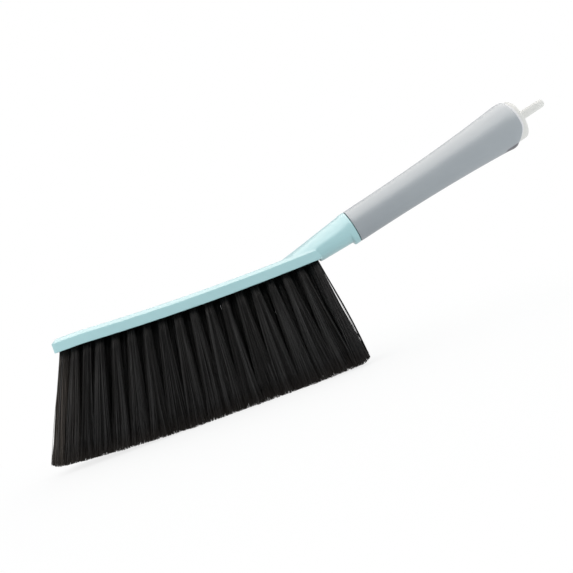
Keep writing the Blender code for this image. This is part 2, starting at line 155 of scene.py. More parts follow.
matt_board = bpy.data.materials.new("matt_painted_board")
matt_board.use_nodes = True
tree = matt_board.node_tree
tree.nodes.clear()
place = add_node(tree, "ShaderNodeTexCoord")
reach = add_node(tree, "ShaderNodeVectorMath", {"operation": "LENGTH"},
                 {0: place.outputs["Object"]})
fade = add_node(tree, "ShaderNodeMapRange",
                {"From Min": SHADOW_NEAR, "From Max": SHADOW_FAR, "To Min": SHADOW_SHARE,
                 "To Max": 0.0}, {"Value": reach.outputs["Value"]})
bounce_rise = add_node(tree, "ShaderNodeMapRange",
                       {"From Min": BOUNCE_NEAR, "From Max": BOUNCE_FAR, "To Min": 0.0,
                        "To Max": BOUNCE_GLOW}, {"Value": reach.outputs["Value"]})
bounce_paint = add_node(tree, "ShaderNodeBsdfDiffuse", {"Color": linear("F6F6F6")})
bounce_glow = add_node(tree, "ShaderNodeEmission", {"Color": linear("FFFFFF")},
                       {"Strength": bounce_rise.outputs[0]})
bounce = add_node(tree, "ShaderNodeAddShader", None,
                  {0: bounce_paint.outputs[0], 1: bounce_glow.outputs[0]})
paint = add_node(tree, "ShaderNodeBsdfDiffuse", {"Color": linear("F2F2F0")})
lift = add_node(tree, "ShaderNodeEmission",
                {"Color": linear("FFFFFF"), "Strength": BOARD_SHORTFALL})
board = add_node(tree, "ShaderNodeAddShader", None, {0: paint.outputs[0], 1: lift.outputs[0]})
glow = add_node(tree, "ShaderNodeEmission", {"Color": linear("FFFFFF"), "Strength": 1.0})
shown = add_node(tree, "ShaderNodeMixShader", None,
                 {0: fade.outputs[0], 1: glow.outputs[0], 2: board.outputs[0]})
both = add_node(tree, "ShaderNodeMixShader", None,
                {0: seen_directly(tree), 1: bounce.outputs[0], 2: shown.outputs[0]})
add_node(tree, "ShaderNodeOutputMaterial", None, {"Surface": both.outputs[0]})
floor.data.materials.append(matt_board)


# Brush block: one moulding of aqua polypropylene. Its arched slab ends in a blunt nose, and
# at the heel it swells into the neck and collar, whose tang carries the handle sleeve.
BLOCK_LENGTH = 0.1815
BLOCK_THICKNESS = 0.0086
NOSE_LENGTH = 0.020
NOSE_WIDTH = 0.022
NOSE_CORNER = 0.004
NOSE_CORNER_STEPS = 10
NOSE_BEND = 0.012
NOSE_BEND_STEPS = 8
HEEL_CORNER = 0.005
HEEL_CORNER_STEPS = 16
ROUND_PROFILE = 0.5
PICK_WITHIN = 0.0003
TOP_EDGE_DROP = 0.0023
TOP_EDGE_RUN = 0.0034
ARCH_RADIUS = 1.6
ARCH_LOW_TO_HEEL = 0.069
ARCH_SLICES = 48

HANDLE_ANGLE = math.radians(13.2)
SEAM_REACH = 0.0259
SEAM_RISE = 0.0143
COLLAR_RADIUS = 0.0111
COLLAR_LENGTH = 0.0042
COLLAR_STEP = 0.0021
NECK_TOP_STEP = 0.0003
NECK_TAPER_SHARE = 0.088
NECK_UNDER_TAPER_SHARE = 0.042
NECK_SIDE_FLARE_SHARE = 0.07
NECK_SIDE_INSET = 0.0004
NECK_CROWN_POWER = 1.18
CROWN_FADE = 4
NECK_FULL_TO_HEEL = 0.0022
NECK_STEP_DOWN = 0.0012
NECK_ROOT_BURY = 0.0034
NECK_TAIL_REACH = 0.0325
NECK_TAIL_SINK = 0.0005
NECK_BLEND = 0.0008
NECK_COVER = 0.0004
NECK_TAIL_RINGS = 26
NECK_RINGS = 24
LIP_ROUND = 0.0005
LIP_RINGS = 4
TANG_LENGTH = 0.036
TANG_WALL = 0.0026
CORE_REACH = 0.021
SLEEVE_WALL = 0.0022
FIT_GAP = 0.0003
ROUND_SIDES = 96

HOLE_RADIUS = 0.0028
HOLE_FLOOR = 0.003
HOLE_SIDES = 20
OVERRUN = 0.002

MOULD_VOXEL = 0.00045
HEEL_BLEND_PASSES = 10
EDGE_EASE_PASSES = 2
SMOOTH_STRENGTH = 0.5
KEPT_SKIN_SHARE = 0.62
BLEND_ABOVE_SHARE = 0.62
BLEND_BEFORE_HEEL = 0.040
BLEND_FADE = 0.003

block_low, block_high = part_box("brush_block")
NOSE_X = block_low.x
HEEL_X = NOSE_X + BLOCK_LENGTH
BEND_X = NOSE_X + NOSE_LENGTH
LOWEST_X = HEEL_X - ARCH_LOW_TO_HEEL
HALF_WIDTH = block_high.y
HOLE_DEPTH = BLOCK_THICKNESS - HOLE_FLOOR
TANG_RADIUS = COLLAR_RADIUS - SLEEVE_WALL - FIT_GAP
seam = Vector((HEEL_X + SEAM_REACH, 0, block_low.z + SEAM_RISE))
along_handle = Vector((math.cos(HANDLE_ANGLE), 0, math.sin(HANDLE_ANGLE)))
above_handle = Vector((-math.sin(HANDLE_ANGLE), 0, math.cos(HANDLE_ANGLE)))
across_brush = Vector((0, 1, 0))
handle_place = Matrix((across_brush, above_handle, along_handle)).transposed().to_4x4()
handle_place.translation = seam


def underside_z(x):
    return block_low.z + (max(x, BEND_X) - LOWEST_X) ** 2 / (2 * ARCH_RADIUS)


def height_above_axis(z, t):
    """How far the level z is above the handle's axis, t along it from the seam."""
    return (z - seam.z - t * math.sin(HANDLE_ANGLE)) / math.cos(HANDLE_ANGLE)


def choose(piece, wanted):
    """In edit mode, select only the points that wanted says yes to."""
    bpy.ops.mesh.select_all(action="DESELECT")
    shape = bmesh.from_edit_mesh(piece.data)
    for vert in shape.verts:
        vert.select = wanted(vert.co)
    shape.select_flush_mode()
    bmesh.update_edit_mesh(piece.data)


def round_ring(height, radius):
    return lambda turn: Vector((radius * math.cos(turn), radius * math.sin(turn), height))


def draw_out(name, rings, closed_round=False):
    """Draw a circle out along local Z, a ring at a time; each ring places its points by turn.
    closed_round joins the last ring to the first, as the wall of a tube needs."""
    bpy.ops.object.select_all(action="DESELECT")
    bpy.ops.mesh.primitive_circle_add(vertices=ROUND_SIDES, radius=1, location=(0, 0, 0))
    piece = bpy.context.object
    piece.name = name
    bpy.ops.object.mode_set(mode="EDIT")
    shape = bmesh.from_edit_mesh(piece.data)
    layer = shape.verts.layers.float.new("turn")
    for vert in shape.verts:
        vert[layer] = math.atan2(vert.co.y, vert.co.x)
    bmesh.update_edit_mesh(piece.data)
    for number, ring in enumerate(rings):
        if number:
            bpy.ops.mesh.extrude_region_move()
        shape = bmesh.from_edit_mesh(piece.data)
        layer = shape.verts.layers.float["turn"]
        for vert in shape.verts:
            if vert.select:
                vert.co = ring(vert[layer])
        bmesh.update_edit_mesh(piece.data)
    bpy.ops.mesh.select_mode(type="EDGE")
    bpy.ops.mesh.select_all(action="DESELECT")
    bpy.ops.mesh.select_non_manifold()
    if closed_round:
        bpy.ops.mesh.bridge_edge_loops()
    else:
        bpy.ops.mesh.fill_holes(sides=0)
    bpy.ops.mesh.select_mode(type="VERT")
    bpy.ops.mesh.select_all(action="SELECT")
    bpy.ops.mesh.normals_make_consistent(inside=False)
    bpy.ops.object.mode_set(mode="OBJECT")
    return piece


def apply_place(piece, place=None):
    """Put the piece's place into its mesh."""
    bpy.ops.object.select_all(action="DESELECT")
    piece.select_set(True)
    bpy.context.view_layer.objects.active = piece
    if place:
        piece.matrix_world = place
    bpy.ops.object.transform_apply(location=True, rotation=True, scale=True)


def apply_modifier(piece, modifier):
    bpy.context.view_layer.objects.active = piece
    bpy.ops.object.modifier_apply(modifier=modifier.name)


def cut_or_add(piece, form, operation):
    """Cut a form out of a piece, or add it, and remove the form."""
    boolean = piece.modifiers.new(form.name, "BOOLEAN")
    boolean.operation = operation
    boolean.solver = "EXACT"
    boolean.object = form
    apply_modifier(piece, boolean)
    bpy.data.objects.remove(form, do_unlink=True)


def join_all(pieces):
    bpy.ops.object.select_all(action="DESELECT")
    for piece in pieces:
        piece.select_set(True)
    bpy.context.view_layer.objects.active = pieces[0]
    bpy.ops.object.join()
    return pieces[0]


def mould_as_one(piece, voxel):
    """Turn overlapping forms into one skin, as one shot of plastic."""
    remesh = piece.modifiers.new("one_shot", "REMESH")
    remesh.mode = "VOXEL"
    remesh.voxel_size = voxel
    remesh.adaptivity = 0
    apply_modifier(piece, remesh)


def soften(piece, passes, weight=None):
    """Smooth a skin; weight gives how much at each point, from 0 to 1."""
    smooth = piece.modifiers.new("soften", "SMOOTH")
    smooth.iterations = passes
    smooth.factor = SMOOTH_STRENGTH
    if weight:
        group = piece.vertex_groups.new(name="soften")
        for vert in piece.data.vertices:
            amount = weight(vert.co)
            if amount > 0:
                group.add([vert.index], min(1, amount), "REPLACE")
        smooth.vertex_group = group.name
    apply_modifier(piece, smooth)
    piece.vertex_groups.clear()


def thin_out(piece, share):
    """Keep a share of a skin's faces; most of those that go lie on its flat sides."""
    thinning = piece.modifiers.new("thin_out", "DECIMATE")
    thinning.ratio = share
    apply_modifier(piece, thinning)


def dress(piece, material, slot, *nodes):
    """Give a finished piece its material, its body and the nodes it stands for. The slot argument
    is not used.
    """
    piece.data.materials.clear()
    piece.data.materials.append(material)
    piece.data.shade_smooth()
    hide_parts(*nodes)
    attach(piece, "root")


MM_PER_METRE = 1000
CLOUD_SIZE = 0.018
CLOUD_DETAIL = 2.0
GRAIN_DETAIL = 3.0
GLOSS_SPREAD = 0.03
USUAL_SPECULAR = 0.5


def make_moulded_plastic(name, low_hex, high_hex, roughness, grain_mm, grain_depth_mm,
                         mark_hex=None, specular=USUAL_SPECULAR):
    """Moulded plastic: two near colours in soft clouds, such as a moulding has where the melt
    cooled unevenly, over the mould's fine grain. A mark's colour takes over where it lies; in this
    script the marks are painted shade and a painted highlight."""
    material = bpy.data.materials.new(name)
    material.use_nodes = True
    tree = material.node_tree
    shader = tree.nodes["Principled BSDF"]
    place = add_node(tree, "ShaderNodeTexCoord")
    clouds = add_node(tree, "ShaderNodeTexNoise", {"Scale": 1 / CLOUD_SIZE, "Detail": CLOUD_DETAIL},
                      {"Vector": place.outputs["Object"]})
    colour = add_node(tree, "ShaderNodeMix",
                      {"data_type": "RGBA", 6: linear(low_hex), 7: linear(high_hex)},
                      {0: clouds.outputs[0]})
    if mark_hex:
        mark = add_node(tree, "ShaderNodeAttribute", {"attribute_name": "mark"})
        colour = add_node(tree, "ShaderNodeMix", {"data_type": "RGBA", 7: linear(mark_hex)},
                          {0: mark.outputs["Fac"], 6: colour.outputs[2]})
    gloss = add_node(tree, "ShaderNodeMapRange",
                     {"To Min": roughness - GLOSS_SPREAD, "To Max": roughness + GLOSS_SPREAD},
                     {"Value": clouds.outputs[0]})
    grain = add_node(tree, "ShaderNodeTexNoise",
                     {"Scale": MM_PER_METRE / grain_mm, "Detail": GRAIN_DETAIL},
                     {"Vector": place.outputs["Object"]})
    bump = add_node(tree, "ShaderNodeBump", {"Distance": grain_depth_mm / MM_PER_METRE},
                    {"Height": grain.outputs[0]})
    tree.links.new(colour.outputs[2], shader.inputs["Base Color"])
    tree.links.new(gloss.outputs[0], shader.inputs["Roughness"])
    tree.links.new(bump.outputs[0], shader.inputs["Normal"])
    shader.inputs["Specular IOR Level"].default_value = specular
    return material


def mark_points(piece, amount):
    """Mark a piece's points, in the handle's own axes, by how much amount says of each."""
    marks = piece.data.attributes.new("mark", "FLOAT", "POINT")
    marks.data.foreach_set("value", [amount(vert.co) for vert in piece.data.vertices])


# Aqua polypropylene, injection moulded in a lightly spark-eroded tool: an even pale colour
# with a soft sheen. The grain is drawn twice as coarse as the real one, so that it shows.
aqua_polypropylene = make_moulded_plastic(
    "aqua_polypropylene", "9FC7CB", "A5CDD0", roughness=0.36, grain_mm=0.5,
    grain_depth_mm=0.010)

bpy.ops.object.select_all(action="DESELECT")
bpy.ops.mesh.primitive_plane_add(size=1, location=(NOSE_X + BLOCK_LENGTH / 2, 0, 0))
block = bpy.context.object
block.name = "duster_block"
block.scale = (BLOCK_LENGTH, 2 * HALF_WIDTH, 1)
apply_place(block)
bpy.ops.object.mode_set(mode="EDIT")
bpy.ops.mesh.select_all(action="SELECT")
bpy.ops.mesh.bisect(plane_co=(BEND_X, 0, 0), plane_no=(1, 0, 0))
choose(block, lambda co: abs(co.x - BEND_X) < PICK_WITHIN)
bpy.ops.mesh.dissolve_edges(use_verts=False)
choose(block, lambda co: co.x < BEND_X - OVERRUN)
bpy.ops.transform.resize(value=(1, NOSE_WIDTH / (2 * HALF_WIDTH), 1),
                         center_override=(NOSE_X, 0, 0))
for corner_x, corner_round, steps in ((NOSE_X, NOSE_CORNER, NOSE_CORNER_STEPS),
                                      (BEND_X, NOSE_BEND, NOSE_BEND_STEPS),
                                      (HEEL_X, HEEL_CORNER, HEEL_CORNER_STEPS)):
    choose(block, lambda co: abs(co.x - corner_x) < PICK_WITHIN)
    bpy.ops.mesh.bevel(offset=corner_round, segments=steps, profile=ROUND_PROFILE,
                       affect="VERTICES")
bpy.ops.mesh.select_all(action="SELECT")
bpy.ops.mesh.extrude_region_move(
    TRANSFORM_OT_translate={"value": (0, 0, BLOCK_THICKNESS - TOP_EDGE_DROP)})
bpy.ops.mesh.select_mode(type="FACE")
bpy.ops.mesh.inset(thickness=TOP_EDGE_RUN, depth=TOP_EDGE_DROP)
bpy.ops.mesh.select_mode(type="VERT")
for step in range(1, ARCH_SLICES):
    bpy.ops.mesh.select_all(action="SELECT")
    slice_x = NOSE_X + BLOCK_LENGTH * step / ARCH_SLICES
    bpy.ops.mesh.bisect(plane_co=(slice_x, 0, 0), plane_no=(1, 0, 0))
bpy.ops.mesh.select_all(action="SELECT")
bpy.ops.mesh.normals_make_consistent(inside=False)
bpy.ops.object.mode_set(mode="OBJECT")
for vert in block.data.vertices:
    vert.co.z += underside_z(vert.co.x)


def neck_top(t):
    """The neck's upper line: the slab's top, blended into the cone that meets the collar."""
    top_z = underside_z(seam.x + t * math.cos(HANDLE_ANGLE)) + BLOCK_THICKNESS - NECK_TAIL_SINK
    slab_top = height_above_axis(top_z, t)
    cone = COLLAR_RADIUS - NECK_TOP_STEP + NECK_TAPER_SHARE * (t + COLLAR_LENGTH)
    return (slab_top + cone + math.hypot(slab_top - cone, NECK_BLEND)) / 2


def oval_ring(t, centre, up, down, crown_power):
    """A ring of the neck: its upper half is drawn in like a roof, above a soft ridge."""
    side = COLLAR_RADIUS - NECK_SIDE_FLARE_SHARE * (t + COLLAR_LENGTH)
    side = min(side, HALF_WIDTH - NECK_SIDE_INSET)

    def place(turn):
        rise = up * max(0, math.sin(turn)) ** crown_power + down * min(0, math.sin(turn))
        return Vector((side * math.cos(turn), centre + rise, t))

    return place


neck_root = -SEAM_REACH / math.cos(HANDLE_ANGLE) - NECK_ROOT_BURY
cover_z = underside_z(HEEL_X) + NECK_COVER
middle_z = underside_z(HEEL_X) + BLOCK_THICKNESS / 2
neck_rings = []
for step in range(NECK_TAIL_RINGS):
    t = neck_root - NECK_TAIL_REACH * (1 - step / NECK_TAIL_RINGS)
    centre = max(0, height_above_axis(middle_z, t))
    neck_rings.append(oval_ring(t, centre, neck_top(t) - centre,
                                centre - height_above_axis(cover_z, t), NECK_CROWN_POWER))
for step in range(NECK_RINGS + 1):
    share = step / NECK_RINGS
    t = neck_root + (-COLLAR_LENGTH - LIP_ROUND - neck_root) * share
    down = COLLAR_RADIUS - COLLAR_STEP + NECK_UNDER_TAPER_SHARE * (t + COLLAR_LENGTH)
    short_of_full = HEEL_X - NECK_FULL_TO_HEEL - seam.x - t * math.cos(HANDLE_ANGLE)
    hidden = -height_above_axis(cover_z, t)
    down += (min(down, hidden) - down) * min(1, max(0, short_of_full / NECK_STEP_DOWN))
    crown_power = 1 + (NECK_CROWN_POWER - 1) * min(1, CROWN_FADE * (1 - share))
    neck_rings.append(oval_ring(t, 0, neck_top(t), down, crown_power))
neck_rings.append(round_ring(-COLLAR_LENGTH, COLLAR_RADIUS))
for step in range(LIP_RINGS + 1):
    turned = math.pi / 2 * step / LIP_RINGS
    neck_rings.append(round_ring(-LIP_ROUND * (1 - math.sin(turned)),
                                 COLLAR_RADIUS - LIP_ROUND * (1 - math.cos(turned))))
neck_rings.append(round_ring(0, TANG_RADIUS))
neck_rings.append(round_ring(TANG_LENGTH - LIP_ROUND, TANG_RADIUS))
neck_rings.append(round_ring(TANG_LENGTH, TANG_RADIUS - LIP_ROUND))
neck = draw_out("neck_form", neck_rings)
core_rings = [round_ring(-CORE_REACH, TANG_RADIUS - TANG_WALL),
              round_ring(TANG_LENGTH + OVERRUN, TANG_RADIUS - TANG_WALL)]
cut_or_add(neck, draw_out("core_form", core_rings), "DIFFERENCE")
apply_place(neck, handle_place)
cut_or_add(block, neck, "UNION")


# Tuft places: three staggered rows of blind holes, closer together along the nose. Each
# tuft leans towards its end of the block, and a trim line ends them all.
OUTER_COLUMNS = 18
NOSE_GAPS = 3
NOSE_PITCH_SHARE = 0.8
NOSE_MARGIN = 0.0055
HEEL_MARGIN = 0.0053
SIDE_MARGIN = 0.006
ROW_SPREAD = 0.0045
LEAN_AT_NOSE = math.radians(-21.8)
LEAN_AT_HEEL = math.radians(8)
TRIM_REACH = 0.138
TRIM_RISE = 0.0064
TRIM_POWER = 2
TIP_CUT = 0.0005


def half_width_at(x):
    into_nose = min(1, (x - NOSE_X) / NOSE_LENGTH)
    return NOSE_WIDTH / 2 + (HALF_WIDTH - NOSE_WIDTH / 2) * into_nose


def trim_z(x):
    return max(0, TRIM_RISE * (abs(x - LOWEST_X) / TRIM_REACH) ** TRIM_POWER - TIP_CUT)


def tuft_axes(places, row):
    """Root and tip of each tuft of a row; row is -1 at the front, 0 in the middle, 1 behind."""
    axes = []
    for x in places:
        root = Vector((x, row * (half_width_at(x) - SIDE_MARGIN), underside_z(x)))
        lean = LEAN_AT_NOSE + (LEAN_AT_HEEL - LEAN_AT_NOSE) * (x - NOSE_X) / BLOCK_LENGTH
        tip_x = x + math.tan(lean) * (root.z - trim_z(x))
        axes.append((root, Vector((tip_x, root.y + row * ROW_SPREAD, trim_z(tip_x)))))
    return axes


row_length = BLOCK_LENGTH - NOSE_MARGIN - HEEL_MARGIN
pitch = row_length / (OUTER_COLUMNS - 1 - NOSE_GAPS * (1 - NOSE_PITCH_SHARE))
outer_places = [NOSE_X + NOSE_MARGIN]
for gap in range(OUTER_COLUMNS - 1):
    outer_places.append(outer_places[-1] + pitch * (NOSE_PITCH_SHARE if gap < NOSE_GAPS else 1))
middle_places = [(low + high) / 2 for low, high in zip(outer_places, outer_places[1:])]
tuft_rows = {
    "front": tuft_axes(outer_places, -1),
    "middle": tuft_axes(middle_places, 0),
    "rear": tuft_axes(outer_places, 1),
}

drills = []
for axes in tuft_rows.values():
    for root, tip in axes:
        upward = (root - tip).normalized()
        bpy.ops.mesh.primitive_cylinder_add(
            vertices=HOLE_SIDES, radius=HOLE_RADIUS, depth=HOLE_DEPTH + OVERRUN,
            location=root + upward * (HOLE_DEPTH - OVERRUN) / 2,
            rotation=upward.to_track_quat("Z", "Y").to_euler())
        drills.append(bpy.context.object)
holes = join_all(drills)
holes.name = "tuft_holes"
apply_place(holes)
cut_or_add(block, holes, "DIFFERENCE")


def heel_blend(co):
    """How much the skin is softened where the neck grows out of the slab's top."""
    above = co.z - underside_z(min(co.x, HEEL_X)) - BLOCK_THICKNESS * BLEND_ABOVE_SHARE
    past = co.x - HEEL_X + BLEND_BEFORE_HEEL
    before_seam = (seam - co).dot(along_handle) - 2 * COLLAR_LENGTH
    return min(1, max(0, min(above, past, before_seam) / BLEND_FADE))


mould_as_one(block, MOULD_VOXEL)
soften(block, EDGE_EASE_PASSES)
soften(block, HEEL_BLEND_PASSES, heel_blend)
thin_out(block, KEPT_SKIN_SHARE)
dress(block, aqua_polypropylene, "aqua_plastic", "brush_block")


# Handle sleeve: a smooth tube of grey plastic pressed over the tang. It swells towards its
# far end, where the rim is rolled in and cut back below.
SLEEVE_LENGTH = 0.1235
SLEEVE_FLARE = 0.0046
SLEEVE_FLARE_POWER = 2.4
SLEEVE_RINGS = 60
RIM_ROLL_DEPTH = 0.0048
RIM_ROLL_HEIGHT = 0.0007
RIM_RINGS = 10
RIM_CUT_DEPTH = 0.0047
RIM_CUT_START = 0.012
RIM_CUT_LEVEL_SHARES = (0.23, 0.93)
RIM_CUT_POWER = 2
SKIRT_LENGTH = 0.012
# The patch of painted shade on the sleeve's underside, beside the rim.
PATCH_LEVEL = 0.0133
PATCH_START = 0.1065
PATCH_TAPER = 0.004
PATCH_EDGE = 0.0004

# Grey polypropylene with a satin skin from a blasted mould: the light spreads softly over it.
# The mark is painted shade: a dark patch on the underside beside the rim.
grey_polypropylene = make_moulded_plastic(
    "grey_satin_polypropylene", "91989D", "979EA2", roughness=0.44, grain_mm=0.4,
    grain_depth_mm=0.008, mark_hex="55555B")


def sleeve_radius(t):
    return COLLAR_RADIUS + SLEEVE_FLARE * max(0, t / SLEEVE_LENGTH) ** SLEEVE_FLARE_POWER


def bore_radius(t):
    return max(COLLAR_RADIUS, sleeve_radius(t)) - SLEEVE_WALL


def rim_back(turn, share=1):
    """How far the rim is drawn back at this turn: not above, and in full along the bottom."""
    level, full_level = RIM_CUT_LEVEL_SHARES
    drawn = min(1, max(0, (-math.sin(turn) - level) / (full_level - level)))
    return RIM_CUT_DEPTH * share * drawn ** RIM_CUT_POWER


def sleeve_ring(t, radius):
    """A ring round the axis, drawn back at its underside as it nears the rim."""
    share = min(1, max(0, (t - SLEEVE_LENGTH + RIM_CUT_START) / RIM_CUT_START))
    return lambda turn: Vector((radius * math.cos(turn), radius * math.sin(turn),
                                t - rim_back(turn, share)))


def in_painted_shade(co):
    """How much a point lies in the patch of painted shade, which comes to a point away from the
    rim.
    """
    narrowing = PATCH_TAPER * max(0, 1 - (co.z - PATCH_START) / PATCH_TAPER) / 2
    below = -co.y - PATCH_LEVEL - narrowing
    return min(1, max(0, min(below, co.z - PATCH_START) / PATCH_EDGE))


roll_start = SLEEVE_LENGTH - RIM_ROLL_DEPTH
seat_start = SLEEVE_LENGTH - SKIRT_LENGTH - OVERRUN
sleeve_rings = []
for step in range(LIP_RINGS + 1):
    turned = math.pi / 2 * step / LIP_RINGS
    sleeve_rings.append(sleeve_ring(FIT_GAP + LIP_ROUND * (1 - math.cos(turned)),
                                    COLLAR_RADIUS - LIP_ROUND * (1 - math.sin(turned))))
for step in range(1, SLEEVE_RINGS + 1):
    t = FIT_GAP + LIP_ROUND + (roll_start - FIT_GAP - LIP_ROUND) * step / SLEEVE_RINGS
    sleeve_rings.append(sleeve_ring(t, sleeve_radius(t)))
for step in range(1, RIM_RINGS + 1):
    turned = math.pi / 2 * step / RIM_RINGS
    rolled_in = sleeve_radius(roll_start) - RIM_ROLL_HEIGHT * (1 - math.cos(turned))
    sleeve_rings.append(sleeve_ring(roll_start + RIM_ROLL_DEPTH * math.sin(turned), rolled_in))
sleeve_rings.append(sleeve_ring(SLEEVE_LENGTH, bore_radius(seat_start)))
for step in range(RIM_RINGS, -1, -1):
    t = FIT_GAP + (seat_start - FIT_GAP) * step / RIM_RINGS
    sleeve_rings.append(sleeve_ring(t, bore_radius(t)))
sleeve = draw_out("duster_handle_sleeve", sleeve_rings, closed_round=True)
mark_points(sleeve, in_painted_shade)
apply_place(sleeve, handle_place)
dress(sleeve, grey_polypropylene, "grey_plastic", "handle_sleeve")


# End cap: one moulding of off-white plastic. A hollow skirt plugs the sleeve, a flange in two
# steps closes its rim, and a flat hanging tab with a round hole grows out of the flange.
FLANGE_THICKNESS = 0.0042
FLANGE_INSET = 0.0009
BAND_LENGTH = 0.0014
BAND_STEP = 0.0003
BAND_EDGE = 0.0003
BAND_BEVEL = 0.0001
FLANGE_ROUND = 0.0017
FLANGE_CROWN = 0.0014
FLANGE_RINGS = 8
SKIRT_WALL = 0.0018
TAB_REACH = 0.0200
TAB_WIDTH = 0.016
TAB_ROOT_THICKNESS = 0.0057
TAB_TIP_THICKNESS = 0.0051
TAB_ROOT_DEPTH = 0.0022
TAB_HOLE_MARGIN = 0.0037
TAB_TIP_STEPS = 24
TAB_BLANK_MIDDLE = 0.5
WELD_WITHIN = 0.00003
TAB_EDGE_ROUND = 0.0020
TAB_EDGE_STEPS = 8
TAB_CORNER_FROM = math.radians(50)
HOLE_RIM_SIDES = 48
TAB_FILLET_REACH = 0.0030
TAB_FILLET_SWELL = 0.0007
TAB_FILLET_STEPS = 6
TAB_HOLE_ROUND = 0.0004
TAB_HOLE_STEPS = 3
SHARP_FROM = math.radians(35)

# Off-white polypropylene, left in its natural colour: slightly warm and slightly waxy.
# The mark is a painted highlight: the ring beside the sleeve is coloured cooler and whiter.
natural_polypropylene = make_moulded_plastic(
    "natural_white_polypropylene", "CACBC8", "D0D1CD", roughness=0.5, grain_mm=0.8,
    grain_depth_mm=0.001, mark_hex="D4D5D7", specular=0.3)

cap_face = SLEEVE_LENGTH + FIT_GAP + FLANGE_THICKNESS
band_end = SLEEVE_LENGTH + FIT_GAP + BAND_LENGTH
flange_radius = sleeve_radius(roll_start) - RIM_ROLL_HEIGHT - FLANGE_INSET
skirt_radius = bore_radius(seat_start) - FIT_GAP
skirt_end = SLEEVE_LENGTH - SKIRT_LENGTH


def flange_ring(t, radius):
    """A ring of the flange beside the rim, drawn back with it."""
    return lambda turn: Vector((radius * math.cos(turn), radius * math.sin(turn),
                                t - rim_back(turn)))


def in_painted_highlight(co):
    """How much a point lies in the flange's ring beside the sleeve, where the highlight is painted.
    """
    turn = math.atan2(co.y, co.x)
    before = band_end - rim_back(turn) - co.z
    outside = co.xy.length - skirt_radius - FIT_GAP
    return min(1, max(0, min(before, outside) / BAND_EDGE))


def round_edges(piece, width, steps):
    """Round the edges where a piece's faces meet at a sharp corner."""
    rounding = piece.modifiers.new("round_edges", "BEVEL")
    rounding.width = width
    rounding.segments = steps
    rounding.limit_method = "ANGLE"
    rounding.angle_limit = TAB_CORNER_FROM
    apply_modifier(piece, rounding)


cap_rings = [
    round_ring(cap_face - SKIRT_WALL, skirt_radius - SKIRT_WALL),
    round_ring(skirt_end, skirt_radius - SKIRT_WALL),
    round_ring(skirt_end, skirt_radius),
    flange_ring(SLEEVE_LENGTH + FIT_GAP, skirt_radius),
    flange_ring(SLEEVE_LENGTH + FIT_GAP, flange_radius),
    flange_ring(band_end - BAND_EDGE, flange_radius),
    flange_ring(band_end, flange_radius - BAND_BEVEL),
    flange_ring(band_end + BAND_BEVEL, flange_radius - BAND_STEP),
]
for step in range(FLANGE_RINGS + 1):
    turned = math.pi / 2 * step / FLANGE_RINGS
    cap_rings.append(round_ring(cap_face - FLANGE_ROUND * (1 - math.sin(turned)),
                                flange_radius - BAND_STEP - FLANGE_ROUND * (1 - math.cos(turned))))
for step in range(1, FLANGE_RINGS):
    share = step / FLANGE_RINGS
    cap_rings.append(round_ring(cap_face + FLANGE_CROWN * math.sin(math.pi / 2 * share),
                                (flange_radius - FLANGE_ROUND) * (1 - share)))
cap = draw_out("duster_end_cap", cap_rings)

bpy.ops.object.select_all(action="DESELECT")
bpy.ops.mesh.primitive_plane_add(size=1, location=(0, 0, 0))
tab = bpy.context.object
tab.name = "hanging_tab"
tab.scale = (TAB_WIDTH, TAB_REACH + TAB_ROOT_DEPTH, 1)
apply_place(tab)
bpy.ops.object.mode_set(mode="EDIT")
choose(tab, lambda co: co.y > 0)
bpy.ops.mesh.bevel(offset=TAB_WIDTH / 2, segments=TAB_TIP_STEPS, profile=ROUND_PROFILE,
                   affect="VERTICES")
bpy.ops.mesh.select_all(action="SELECT")
bpy.ops.mesh.remove_doubles(threshold=WELD_WITHIN)
for step in range(TAB_FILLET_STEPS + 1):
    bpy.ops.mesh.select_all(action="SELECT")
    fillet_y = (TAB_ROOT_DEPTH - TAB_REACH) / 2 + TAB_FILLET_REACH * step / TAB_FILLET_STEPS
    bpy.ops.mesh.bisect(plane_co=(0, fillet_y, 0), plane_no=(0, 1, 0))
bpy.ops.mesh.select_all(action="SELECT")
bpy.ops.mesh.extrude_region_move(TRANSFORM_OT_translate={"value": (0, 0, 1)})
bpy.ops.mesh.select_all(action="SELECT")
bpy.ops.mesh.normals_make_consistent(inside=False)
bpy.ops.object.mode_set(mode="OBJECT")
for vert in tab.data.vertices:
    reach = vert.co.y + (TAB_REACH - TAB_ROOT_DEPTH) / 2
    thickness = TAB_ROOT_THICKNESS + (TAB_TIP_THICKNESS - TAB_ROOT_THICKNESS) * reach / TAB_REACH
    swell = TAB_FILLET_SWELL * min(1, max(0, 1 - reach / TAB_FILLET_REACH)) ** 2
    vert.co = Vector((vert.co.x * (1 + 2 * swell / TAB_WIDTH),
                      (vert.co.z - TAB_BLANK_MIDDLE) * (thickness + 2 * swell), cap_face + reach))
round_edges(tab, TAB_EDGE_ROUND, TAB_EDGE_STEPS)

bpy.ops.object.select_all(action="DESELECT")
bpy.ops.mesh.primitive_cylinder_add(
    vertices=HOLE_RIM_SIDES, radius=TAB_WIDTH / 2 - TAB_HOLE_MARGIN, depth=2 * TAB_ROOT_THICKNESS,
    location=(0, 0, cap_face + TAB_REACH - TAB_WIDTH / 2), rotation=(math.pi / 2, 0, 0))
hanging_hole = bpy.context.object
hanging_hole.name = "hanging_hole"
apply_place(hanging_hole)
cut_or_add(tab, hanging_hole, "DIFFERENCE")
round_edges(tab, TAB_HOLE_ROUND, TAB_HOLE_STEPS)

cut_or_add(cap, tab, "UNION")
mark_points(cap, in_painted_highlight)
apply_place(cap, handle_place)
dress(cap, natural_polypropylene, "white_plastic", "end_cap")
cap.data.set_sharp_from_angle(angle=SHARP_FROM)
flat_faces = cap.modifiers.new("flat_faces", "WEIGHTED_NORMAL")
flat_faces.keep_sharp = True
apply_modifier(cap, flat_faces)


